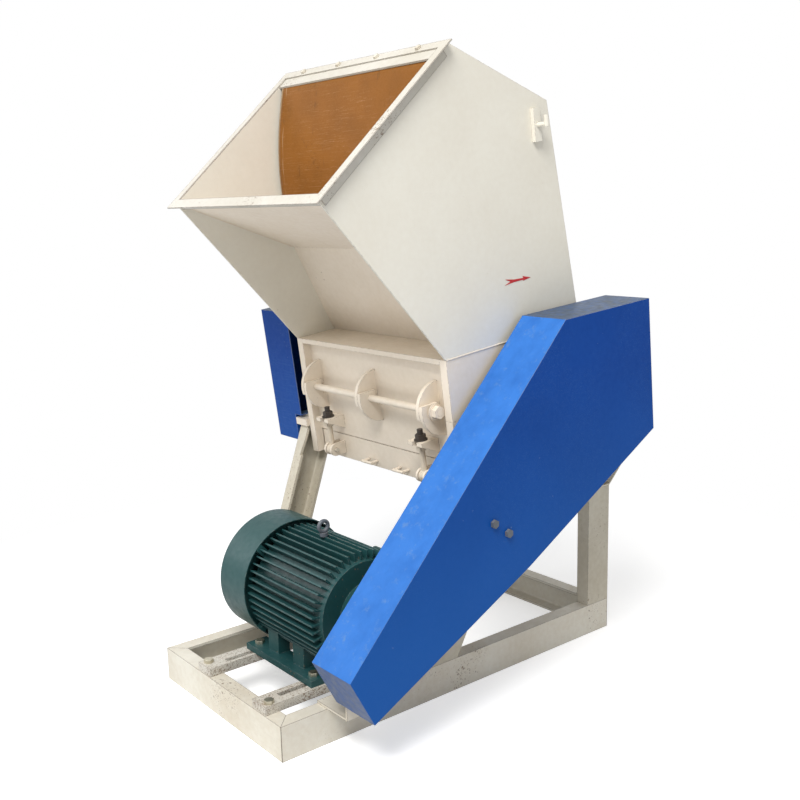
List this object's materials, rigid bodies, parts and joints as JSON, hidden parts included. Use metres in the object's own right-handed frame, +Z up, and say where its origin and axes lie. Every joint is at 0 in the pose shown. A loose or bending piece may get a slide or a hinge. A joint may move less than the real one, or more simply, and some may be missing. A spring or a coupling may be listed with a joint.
{
  "type": "plastic granulator",
  "caption": "Belt-driven plastic granulator: a tilting feed hopper on an inclined cutting chamber with knife rotor and screen, a motor and a channel base.",
  "frame": {"origin": "centre of the floor rectangle under the base, at floor level", "axes": "+X towards the belt guard, +Y towards the rear, away from the hopper's mouth, +Z up"},
  "size_m": [1.1582, 1.35, 1.9032],
  "materials": {
    "cream_paint": "satin",
    "blue_paint": "satin",
    "green_paint": "satin",
    "tool_steel": "satin",
    "zinc_steel": "satin",
    "dark_steel": "satin",
    "black_iron": "matte",
    "fan_plastic": "matte",
    "belt_rubber": "matte",
    "curtain_sheet": "satin"
  },
  "bodies": {
    "base": {"front_sill": "cream_paint", "rear_sill": "cream_paint", "left_sill": "cream_paint", "right_sill": "cream_paint", "cross_sill": "cream_paint", "front_leg_left": "cream_paint", "front_leg_right": "cream_paint", "rear_legs": "cream_paint", "rear_cross_beam": "cream_paint", "girders": "cream_paint", "bearing_shelf_left": "cream_paint", "bearing_shelf_right": "cream_paint", "lower_side_left": "cream_paint", "lower_side_right": "cream_paint", "lower_front_wall": "cream_paint", "lower_rear_wall": "cream_paint", "bed_knives": "tool_steel", "housing_bolts": "zinc_steel", "bearing_housings": "black_iron", "hanger_bolts": "dark_steel", "hanger_pins": "zinc_steel", "hinge_rod": "cream_paint", "belt_guard": "blue_paint", "guard_brackets": "cream_paint", "guard_bolts": "dark_steel", "flywheel_guard": "blue_paint", "motor_frame": "green_paint", "motor_end_shields": "green_paint", "motor_fan_cover": "green_paint", "motor_stator": "black_iron", "motor_terminal_box": "green_paint", "motor_eye_bolt": "dark_steel", "v_belts": "belt_rubber", "motor_rails": "cream_paint", "motor_bolts": "zinc_steel"},
    "rotor": {"rotor_shaft": "tool_steel", "rotor_body": "black_iron", "rotor_knives": "tool_steel", "rotor_knife_bolts": "dark_steel", "rotor_pulley": "black_iron", "flywheel": "black_iron"},
    "motor_rotor": {"motor_shaft": "tool_steel", "motor_fan": "fan_plastic", "motor_pulley": "black_iron"},
    "hopper": {"upper_side_left": "cream_paint", "upper_side_right": "cream_paint", "upper_front_wall": "cream_paint", "upper_rear_wall": "cream_paint", "hopper_side_left": "cream_paint", "hopper_side_right": "cream_paint", "hopper_front_panel": "cream_paint", "hopper_back_sheet": "cream_paint", "mouth_rim": "cream_paint", "curtain_strip": "cream_paint", "hopper_bolts": "dark_steel", "lifting_hooks": "cream_paint"},
    "curtain": {"curtain": "curtain_sheet"},
    "cradle": {"screen_cradle": "cream_paint", "screen": "tool_steel", "cradle_rear_bolts": "zinc_steel"}
  },
  "joints": [
    {"name": "rotor_spin", "type": "hinge", "parent": "base", "child": "rotor", "pos_m": [0, 0.217, 0.892], "axis": [1, 0, 0], "continuous": true},
    {"name": "motor_spin", "type": "hinge", "parent": "base", "child": "motor_rotor", "pos_m": [0, -0.35, 0.33], "axis": [1, 0, 0], "continuous": true},
    {"name": "hopper_tilt", "type": "hinge", "parent": "base", "child": "hopper", "pos_m": [0, -0.09609, 0.88177], "axis": [1, 0, 0], "range_deg": [0, 80]},
    {"name": "curtain_swing", "type": "hinge", "parent": "hopper", "child": "curtain", "pos_m": [0, -0.12473, 1.85055], "axis": [1, 0, 0], "range_deg": [-10, 45]},
    {"name": "cradle_drop", "type": "hinge", "parent": "base", "child": "cradle", "pos_m": [0, -0.07001, 0.66936], "axis": [-1, 0, 0], "range_deg": [0, 50]}
  ],
  "couplings": [
    {"joint": "motor_spin", "follows": "rotor_spin", "ratio": 3.1481}
  ]
}
